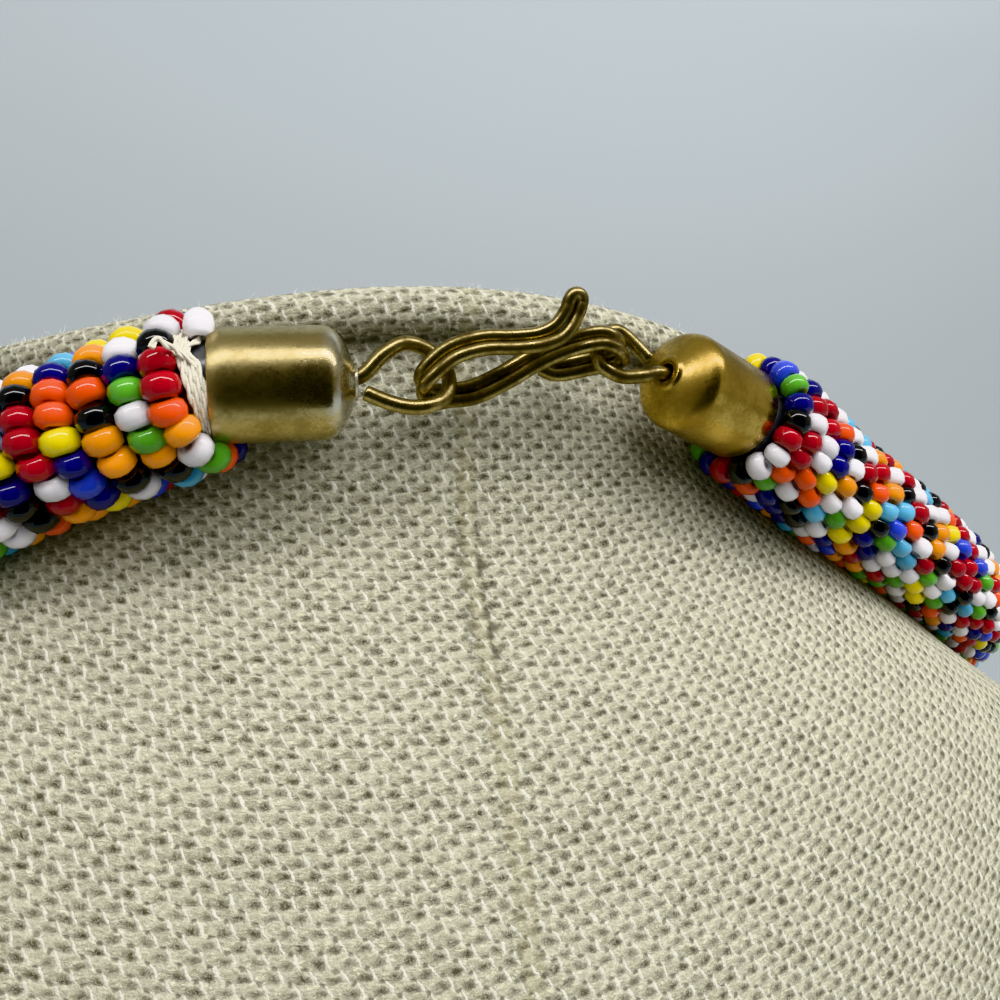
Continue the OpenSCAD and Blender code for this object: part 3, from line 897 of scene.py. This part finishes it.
# %% [markdown]
# Linen is hairy. A hair is a thin spike with three sides and one bend, and thousands of
# them stand on the cloth at random, close together on the rolled rim, where they blur its
# outline. One spike is made, and each copy gets its own length, bend and direction.

# %% One loose fibre
HAIR_R, HAIR_SHORTEST, HAIR_LONGER = 0.022, 0.2, 1.1

spike = bmesh.new()
bmesh.ops.create_cone(spike, cap_ends=True, segments=3, radius1=HAIR_R, radius2=0, depth=1,
                      matrix=Matrix.Translation((0, 0, 0.5)))
bmesh.ops.bisect_plane(spike, geom=spike.verts[:] + spike.edges[:] + spike.faces[:],
                       plane_co=(0, 0, 0.5), plane_no=(0, 0, 1))
hair_points = np.array([v.co for v in spike.verts])
hair_faces = [[v.index for v in f.verts] for f in spike.faces]
spike.free()
print("a hair has", len(hair_faces), "faces")

# %% Fibres all over the cloth
HAIRS = {"rim": 11000, "nape": 2600, "body": 1400}


def hair_place(kind):
    """A random place on the cloth, and the direction away from it."""
    if kind == "rim":
        turn, a = hair_rng.uniform(-pi, pi), radians(hair_rng.uniform(-80, 150))
        row = raised(BUST_ROWS[0], ROLL_R * cos(a) - ROLL_INSET, ROLL_RISE + ROLL_R * sin(a))
        level = np.array([sin(turn), -cos(turn), 0])
        return section_point(row, turn, QUARTER_DIP), level * cos(a) + np.array([0, 0, sin(a)])
    turn = hair_rng.uniform(-1.2, 1.2) if kind == "nape" else hair_rng.uniform(-pi, pi)
    t = hair_rng.uniform(0, 4) if kind == "nape" else hair_rng.uniform(0.5, LAST_ROW - 0.5)
    return bust_point(turn, t), bust_outward(turn, t)


def hair_copy(kind):
    """A hair's points, bent over, turned and placed, with a random tone."""
    at, away = hair_place(kind)
    wild = unit(np.array([hair_rng.gauss(0, 1) for _ in range(3)]))
    stand = unit(away * hair_rng.uniform(0.2, 0.9) + wild * 0.8)
    lie = unit(np.cross(stand, wild))
    length = HAIR_SHORTEST + HAIR_LONGER * hair_rng.random() ** 4
    along = hair_points[:, 2:]
    bent = lie * hair_rng.uniform(0.1, 0.5) * along**2
    axes = np.array([lie, np.cross(stand, lie)])
    return at - away * 0.05 + hair_points[:, :2] @ axes + (along * stand + bent) * length


hair_rng = random.Random(7)
hairs = [hair_copy(kind) for kind, count in HAIRS.items() for _ in range(count)]
hair_mesh = gathered("linen_fuzz", hairs, hair_faces, [hair_rng.random() for _ in hairs])

FUZZ, fuzz_tree, fuzz_shader = new_material("linen_fibre", Roughness=0.9, Sheen_Weight=0.2)
tone = node(fuzz_tree, "Attribute", attribute_name="lot").outputs["Fac"]
fuzz_tree.links.new(mixed(fuzz_tree, tone, screen(196, 192, 164), screen(246, 243, 228)),
                    fuzz_shader.inputs["Base Color"])
hand_over(hair_mesh, hair_mesh.name, FUZZ, "neck_bust")

# %% [markdown]
# The work is finished off at the left cap. One small white bead sits on the bare core,
# with its hole pointing down and outwards. The cotton that comes out of it is wound
# round the core four times, and a short end of it strays over the last round of beads.
# Cotton like this has two plies, so a path is laid first and two thin tubes are then
# twisted round it.

# %% Where the thread runs
THREAD_R, PLY_R, PLY_TURN = 0.14, 0.17, 3.2
WRAPS, WRAP_R, WRAP_AT, WRAP_WIDE, WRAP_TILT = 4, CORE_D / 2 + 0.3, 0.85, 1.75, 0.28

cap_up = unit(np.array([0, 0, 1]) - LEFT_AXIS * LEFT_AXIS[2])
cap_out = np.cross(cap_up, LEFT_AXIS)
cap_out = cap_out if cap_out[1] < 0 else -cap_out
hole_way = unit(cap_out * 0.55 - cap_up * 0.85)


def by_cap(along, up, out):
    """A point given along the left cap's axis from its mouth, up from it, and outwards."""
    return LEFT_MOUTH + LEFT_AXIS * along + cap_up * up + cap_out * out


def wound(turn):
    """The thread on the core, turn full turns after it starts at the upper front."""
    angle = 2 * pi * turn + radians(52)
    up, out = WRAP_R * cos(angle), WRAP_R * sin(angle)
    along = -WRAP_AT + WRAP_WIDE * (0.5 - turn / WRAPS) - WRAP_TILT * up
    return by_cap(along, up, out)


print("the thread covers", WRAP_WIDE, "mm of the core in", WRAPS, "turns")

# %% Two plies of cotton


def plied(path, spacing=0.12):
    """Two plies twisted round a path, in one bmesh."""
    s = along_lengths(path)
    even = np.arange(0, s[-1], spacing)
    path = np.stack([np.interp(even, s, path[:, k]) for k in range(3)], 1)
    _, n, b = carried_frames(path, (0.1, 0.2, 1))
    both = bmesh.new()
    for start in (0, pi):
        angle = (2 * pi * even / PLY_TURN + start)[:, None]
        ply = sweep(path + THREAD_R * (np.cos(angle) * n + np.sin(angle) * b), PLY_R, 6)
        made = bpy.data.meshes.new("ply")
        ply.to_mesh(made)
        ply.free()
        both.from_mesh(made)
        bpy.data.meshes.remove(made)
    return both


def cotton():
    material, tree, shader = new_material("cotton", Roughness=0.9, Sheen_Weight=0.3)
    fibre = noise(tree, node(tree, "TexCoord").outputs["Object"], 5200.0, 4.0)
    colour = mixed(tree, fibre, screen(164, 157, 136), screen(240, 235, 220))
    dress(tree, shader, colour, fibre, 0.6, 0.08)
    return material


COTTON = cotton()
print("turns of the plies in 1 cm of thread:", round(10 / PLY_TURN, 1))

# %% White bead and its thread
END_BEAD = (-0.6, 5.4, 0.9)  # along the cap's axis from its mouth, up, towards the viewer
END_BEAD_D, END_BEAD_LONG = 2.7, 2.5

bead_at = by_cap(*END_BEAD)
end_axes = np.array([hole_way, LEFT_AXIS, np.cross(hole_way, LEFT_AXIS)]).T
end_axes = end_axes * [END_BEAD_LONG / BEAD_LONG, END_BEAD_D / BEAD_D, END_BEAD_D / BEAD_D]
end_mesh = gathered("end_bead", [bead_points @ end_axes.T + bead_at], bead_faces, [1.0])
hand_over(end_mesh, end_mesh.name, BEAD_GLASS["white"], "bead_rope")

lead = [bead_at - hole_way * 0.6, bead_at + hole_way * 1.3, by_cap(-0.9, 4.1, 2.2),
        by_cap(-1.3, 3.9, 2.7), by_cap(-1.6, 3.4, 3.4)]
windings = [wound(k / 48) for k in range(WRAPS * 48 + 1)]
stray = [wound(0.02), by_cap(-2.2, 3.7, 3.9), by_cap(-2.8, 4.3, 4.9), by_cap(-3.5, 4.9, 5.1),
         by_cap(-4.0, 4.2, 5.8)]
thread_path = np.vstack([smooth_line(np.array(lead + [windings[0]]), 8), windings[1:]])
for name, path in (("thread_wraps", thread_path), ("thread_end", smooth_line(np.array(stray), 8))):
    finish_piece(plied(path), name, COTTON, "bead_rope")

# %% [markdown]
# The caps are thin shells drawn from sheet brass. Half the section, inside and outside
# together, is a closed outline: mouth, wall, rounded shoulder, domed nose, and a low lip
# round the hole that the wire comes out of. Spinning it once round makes the cap. A few
# soft pushes then take away the machine-made look. Each point also keeps how far it lies
# from the mouth to the nose, because handling has rubbed the nose of the paler cap to a
# silvery shine and left its mouth dull.

# %% Metal wear as a shared group


def metal_wear():
    """Blotches of tarnish, fine speckle and rubbed streaks, for any worn metal."""
    tree, given, out = new_group(
        "metal_wear", {"Place": "Vector", "Blotch": "Float", "Speckle": "Float"},
        {"Tarnish": "Float", "Grain": "Float", "Relief": "Float"})
    calc = sums(tree)
    blotch = noise(tree, given["Place"], given["Blotch"], 5.0, Roughness=0.6)
    speckle = noise(tree, given["Place"], given["Speckle"], 3.0, Roughness=0.8)
    pits = node(tree, "TexVoronoi", {"Vector": given["Place"], "Scale": given["Speckle"]},
                feature="F1").outputs["Distance"]
    pit = fall(tree, pits, 0.0, 0.28)
    tree.links.new(ramp(tree, calc("MULTIPLY_ADD", speckle, 0.35, blotch), 0.52, 0.88), out["Tarnish"])
    tree.links.new(speckle, out["Grain"])
    tree.links.new(calc("MULTIPLY_ADD", pit, -0.5, speckle), out["Relief"])
    return tree


METAL_WEAR = metal_wear()
print("metal wear nodes:", len(METAL_WEAR.nodes))

# %% Worn brass


def worn_brass(name, bright, dull, tarnish, blotch, speckle, rough, bump_mm, silver=0.0):
    material, tree, shader = new_material(name, Metallic=1.0)
    calc = sums(tree)
    place = node(tree, "TexCoord").outputs["Object"]
    wear = use_group(tree, METAL_WEAR, {"Place": place, "Blotch": blotch, "Speckle": speckle})
    amount = calc("MULTIPLY", wear["Tarnish"], tarnish)
    brass = mixed(tree, amount, screen(*bright), screen(*dull))
    along = node(tree, "Attribute", attribute_name="along").outputs["Fac"]
    rubbed = ramp(tree, calc("MULTIPLY_ADD", wear["Tarnish"], -0.12, along), 0.72, 0.86)
    colour = mixed(tree, calc("MULTIPLY", rubbed, silver), brass, screen(216, 212, 198))
    dulled = calc("MULTIPLY", calc("SUBTRACT", 1, along), silver * 0.16)
    roughness = calc("ADD", calc("ADD", calc("MULTIPLY_ADD", amount, 0.22, rough), dulled),
                     calc("MULTIPLY", wear["Grain"], 0.12))
    tree.links.new(roughness, shader.inputs["Roughness"])
    dress(tree, shader, colour, wear["Relief"], 0.35, bump_mm)
    return material


# bright and dull colour, how much tarnish, size of blotches and speckle, roughness, relief
PALE_BRASS = worn_brass("pale_brass", (190, 174, 126), (124, 108, 72), 0.65, 260.0, 2600.0,
                        0.12, 0.03, silver=0.8)
GOLD_BRASS = worn_brass("gold_brass", (206, 177, 103), (134, 108, 56), 0.75, 210.0, 2200.0,
                        0.16, 0.035)
WIRE_BRASS = worn_brass("wire_brass", (184, 167, 118), (88, 75, 45), 0.9, 420.0, 2400.0,
                        0.2, 0.035)
print("brasses:", PALE_BRASS.name, GOLD_BRASS.name, WIRE_BRASS.name)

# %% Half the section of a cap
CAP_D, CAP_LEN = 10.2, 12.6
SHOULDER_R, SHOULDER_TURN, NOSE_TURN = 1.9, 55, 72
LIP_D, LIP_H, NOSE_HOLE_D, FIT_GAP = 3.4, 0.25, 1.9, 0.15


def arc(at, r, start, end, steps):
    return [(at[0] + r * cos(radians(a)), at[1] + r * sin(radians(a)))
            for a in np.linspace(start, end, steps + 1)]


def cap_outline():
    outer, inner = CAP_D / 2, CORE_D / 2 + FIT_GAP
    wall, lip, hole, edge = outer - inner, LIP_D / 2, NOSE_HOLE_D / 2, 0.12
    turn, nose = radians(SHOULDER_TURN), radians(NOSE_TURN)
    dome_r = (outer - SHOULDER_R * (1 - cos(turn)) - lip) / (cos(turn) - cos(nose))
    end_h = SHOULDER_R * sin(turn) + dome_r * (sin(nose) - sin(turn))
    shoulder = (outer - SHOULDER_R, CAP_LEN - LIP_H - end_h)
    deeper = SHOULDER_R - dome_r
    dome = (shoulder[0] + deeper * cos(turn), shoulder[1] + deeper * sin(turn))
    walls = [(outer, h) for h in np.linspace(edge, shoulder[1] - 0.4, 7)]
    return [(inner + edge, 0), (outer - edge, 0), *walls,
            *arc(shoulder, SHOULDER_R, 0, SHOULDER_TURN, 10),
            *arc(dome, dome_r, SHOULDER_TURN + 2, NOSE_TURN, 8),
            (lip, CAP_LEN - 0.06), (lip - 0.08, CAP_LEN), (hole + 0.08, CAP_LEN),
            (hole, CAP_LEN - 0.08), (hole, CAP_LEN - LIP_H - wall),
            *arc(dome, dome_r - wall, NOSE_TURN - 3, SHOULDER_TURN + 3, 4),
            *arc(shoulder, SHOULDER_R - wall, SHOULDER_TURN, 0, 4), (inner, edge)]


print("points in the outline of a cap:", len(cap_outline()))

# %% The two end caps
CAP_SIDES, SOFT_PUSHES = 96, 9


def cap(mouth, axis, seed):
    shell = bmesh.new()
    corners = [shell.verts.new((r, 0, h)) for r, h in cap_outline()]
    edges = [shell.edges.new(pair) for pair in zip(corners, corners[1:] + corners[:1])]
    bmesh.ops.spin(shell, geom=corners + edges, cent=(0, 0, 0), axis=(0, 0, 1), angle=2 * pi,
                   steps=CAP_SIDES, use_merge=True)
    bmesh.ops.remove_doubles(shell, verts=shell.verts, dist=0.001)
    bmesh.ops.recalc_face_normals(shell, faces=shell.faces)
    bend = random.Random(seed)
    for _ in range(SOFT_PUSHES):
        spot = Vector((0, 0, bend.uniform(2, 11))) + Vector((CAP_D / 2, 0, 0)) @ Matrix.Rotation(
            bend.uniform(0, 2 * pi), 3, "Z")
        push, reach = bend.uniform(-0.03, 0.02), bend.uniform(1.8, 3.2)
        for v in shell.verts:
            nearness = exp(-((v.co - spot).length / reach) ** 2)
            v.co += Vector((v.co.x, v.co.y, 0)).normalized() * push * nearness
    along = shell.verts.layers.float.new("along")
    for v in shell.verts:
        v[along] = v.co.z / CAP_LEN
    turn = Vector((0, 0, 1)).rotation_difference(Vector(axis)).to_matrix().to_4x4()
    bmesh.ops.transform(shell, matrix=Matrix.Translation(mouth) @ turn, verts=shell.verts)
    return shell


finish_piece(cap(LEFT_MOUTH, LEFT_AXIS, 3), "cap_left", PALE_BRASS, "left_cap")
finish_piece(cap(RIGHT_MOUTH, RIGHT_AXIS, 8), "cap_right", GOLD_BRASS, "right_cap")

# %% [markdown]
# The clasp is bent from one gauge of brass wire. Each cap has a teardrop eye, and the
# hook is a single wire folded back on itself, so its two strands run side by side. The
# routes are short tables in the clasp's own frame: along it, up it and out to the viewer.

# %% Routes of the clasp's wires
CLASP_AT = np.array([3.9, -31.8, 218])
CLASP_U = heading_to(0.8, 3)
CLASP_V = np.array([0, sin(radians(15)), cos(radians(15))])
CLASP_V = unit(CLASP_V - CLASP_U * (CLASP_V @ CLASP_U))
CLASP_W = np.cross(CLASP_U, CLASP_V)
# along, up, out, and the roll of the two strands in degrees
HOOK_ROUTE = np.array([
    [5, 6.7, 2.6, -75],  # folded tip
    [4.6, 5.6, 2.4, -60],
    [3.5, 4.1, 2.2, -25],
    [1.6, 3.3, 1.9, 0],  # upper run
    [-0.9, 3.1, 1.6, 0],
    [-3.8, 3.1, 1.5, 0],
    [-6.7, 2.4, 1.5, 0],
    [-8.8, 0.9, 1.2, 0],  # left bend, through the left eye
    [-9.6, -0.4, 0.3, 0],
    [-8.6, -1.5, -1.3, 0],
    [-6.5, -1.4, -1.8, 0],
    [-4.2, -1.2, -1.6, 0],  # lower run
    [-1.2, 0, -1.4, 0],
    [2.1, 1.7, -1.1, 0],
    [5.2, 2.9, 0, 0],
    [8, 3.4, 0.9, 0],
    [9.7, 2.9, 0.8, 0],  # right bend, through the right eye
    [10.7, 2, -0.2, 0],
    [10.2, 1.4, -1.4, 0],
    [8.6, 1.3, -2.1, 0],
    [5, 0.8, -2.9, 0],
    [3.3, 1.4, -3.1, 0],  # cut ends, behind the rising strands
], float)
LEFT_EYE = np.array([
    [-17.8, 0.2, -0.3], [-15.1, 0.5, 0], [-12.9, 2.4, 0], [-10.8, 3.4, -0.4], [-8.6, 2.8, -0.9],
    [-7.1, 1.3, -0.9], [-6.8, -0.3, -0.4], [-7.6, -1.7, 0.5], [-9.2, -2.4, 1.2], [-10.9, -2.5, 1.2],
    [-12.8, -2, 0.9], [-14.9, -1, 0.5]])
RIGHT_EYE = np.array([
    [17.2, -0.8, -0.9], [14.8, -0.1, 0], [12.9, -0.3, 0.2], [10.4, -0.3, 0.2], [8.5, 0.7, 0.1],
    [8.2, 1.9, -0.4], [8.8, 3.3, -1], [10.2, 4.3, -1.4], [11.7, 3.8, -1.3], [13.7, 1.2, -0.2]])
print("points on the routes:", len(HOOK_ROUTE), len(LEFT_EYE), len(RIGHT_EYE))

# %% The bent wires
HOOK_D, EYE_D, STRAND_PITCH, STRAND_LAY = 1.28, 1.42, 1.31, 25
WIRE_SIDES, WIRE_STEPS, FOLD_STEPS = 16, 7, 10


def in_clasp(points):
    return CLASP_AT + points @ np.array([CLASP_U, CLASP_V, CLASP_W])


def hook_line():
    """Up the front strand from its cut end, round the fold, and back down the rear one."""
    rows = smooth_line(HOOK_ROUTE, WIRE_STEPS)
    middle_line, roll = rows[:, :3], np.radians(rows[:, 3:])
    t = unit(np.gradient(middle_line, axis=0))
    lay = np.array([0, -cos(radians(STRAND_LAY)), sin(radians(STRAND_LAY))])
    side = unit(lay - t * (t @ lay)[:, None])
    side = side * np.cos(roll) + np.cross(t, side) * np.sin(roll)
    half = STRAND_PITCH / 2
    front, rear = middle_line + half * side, middle_line - half * side
    angles = pi * np.arange(1, FOLD_STEPS) / FOLD_STEPS
    fold = [middle_line[0] + half * (side[0] * cos(a) - t[0] * sin(a)) for a in angles]
    return np.vstack([front[::-1], fold, rear])


for name, line, wire_d, node_name in (
        ("hook_wire", hook_line(), HOOK_D, "s_hook"),
        ("eye_left", smooth_line(LEFT_EYE, WIRE_STEPS), EYE_D, "left_eye"),
        ("eye_right", smooth_line(RIGHT_EYE, WIRE_STEPS), EYE_D, "right_eye")):
    wire = sweep(in_clasp(line), wire_d / 2, WIRE_SIDES, CLASP_W, end_round=0.12)
    finish_piece(wire, name, WIRE_BRASS, node_name)

# %% [markdown]
# The light is plain and soft: a broad lamp overhead for the cloth, and under it a long
# narrow one that draws a thin bright arc on every bead. A pale world fills the shadows. Bare
# metal only shows what it mirrors, so a dark card stands behind the camera and gives the
# brass its dark bands. Card and paper backdrop are no part of it.

# %% Lamps and world


def lamp(name, at, aim, size_x, size_y, power):
    light = bpy.data.lights.new(name, "AREA")
    light.shape, light.size, light.size_y, light.energy = "RECTANGLE", size_x, size_y, power
    made = bpy.data.objects.new(name, light)
    made.location = at
    made.rotation_euler = (Vector(aim) - Vector(at)).to_track_quat("-Z", "Y").to_euler()
    bpy.context.collection.objects.link(made)
    return made


lamp("strip", (0.0, -0.30, 1.0), (0, -0.05, 0.2), 2.4, 0.12, 9.5)
overhead = lamp("overhead", (0.34, -0.43, 1.11), (0, 0, 0.2), 1.6, 1.1, 22.3)
overhead.visible_glossy = False

world = bpy.data.worlds.new("pale_room")
world.use_nodes = True
air = world.node_tree.nodes["Background"].inputs
air["Color"].default_value, air["Strength"].default_value = screen(195, 194, 188), 0.68
bpy.context.scene.world = world
bpy.context.scene.view_settings.view_transform = "Khronos PBR Neutral"

# %% Paper backdrop and dark card
SWEEP_R, WALL_Y, WALL_TOP, FRONT_Y, HALF_WIDE = 0.4, 0.75, 1.6, -1.5, 2.0
LOW_DIM = 0.66  # painted shade: the paper's colour is this much darker at floor level
sweep_edge = [(FRONT_Y, 0), *arc((WALL_Y - SWEEP_R, SWEEP_R), SWEEP_R, -90, 0, 16), (WALL_Y, WALL_TOP)]


def stage_piece(name, shape, colour):
    mesh = bpy.data.meshes.new(name)
    shape.to_mesh(mesh)
    shape.free()
    mesh.shade_smooth()
    made = bpy.data.objects.new(name, mesh)
    bpy.context.collection.objects.link(made)
    paint, tree, shader = new_material(name + "_paint", Roughness=0.9)
    place = node(tree, "TexCoord").outputs["Object"]
    height = node(tree, "SeparateXYZ", {"Vector": place}).outputs["Z"]
    # painted shade: the paper's colour is mixed darker towards the floor
    dimmer = tuple(c * LOW_DIM for c in colour[:3]) + (1,)
    shaded = mixed(tree, ramp(tree, height, 0.0, 0.5), dimmer, colour)
    tree.links.new(shaded, shader.inputs["Base Color"])
    mesh.materials.append(paint)
    return made


paper = bmesh.new()
line = [paper.verts.new((-HALF_WIDE, y, z)) for y, z in sweep_edge]
edges = [paper.edges.new(pair) for pair in zip(line, line[1:])]
drawn = bmesh.ops.extrude_edge_only(paper, edges=edges)["geom"]
bmesh.ops.translate(paper, vec=(2 * HALF_WIDE, 0, 0),
                    verts=[g for g in drawn if isinstance(g, bmesh.types.BMVert)])
stage_piece("backdrop", paper, screen(178, 185, 189))

card = bmesh.new()
upright = Matrix.Translation((-0.03, -0.3, 0.28)) @ Matrix.Rotation(radians(90), 4, "X")
bmesh.ops.create_grid(card, x_segments=1, y_segments=1, size=0.28, matrix=upright)
dark_card = stage_piece("dark_card", card, screen(28, 28, 34))
for seen_by in ("camera", "diffuse", "shadow", "transmission"):
    setattr(dark_card, "visible_" + seen_by, False)
print("the paper curves up from y =", round(WALL_Y - SWEEP_R, 2), "m")
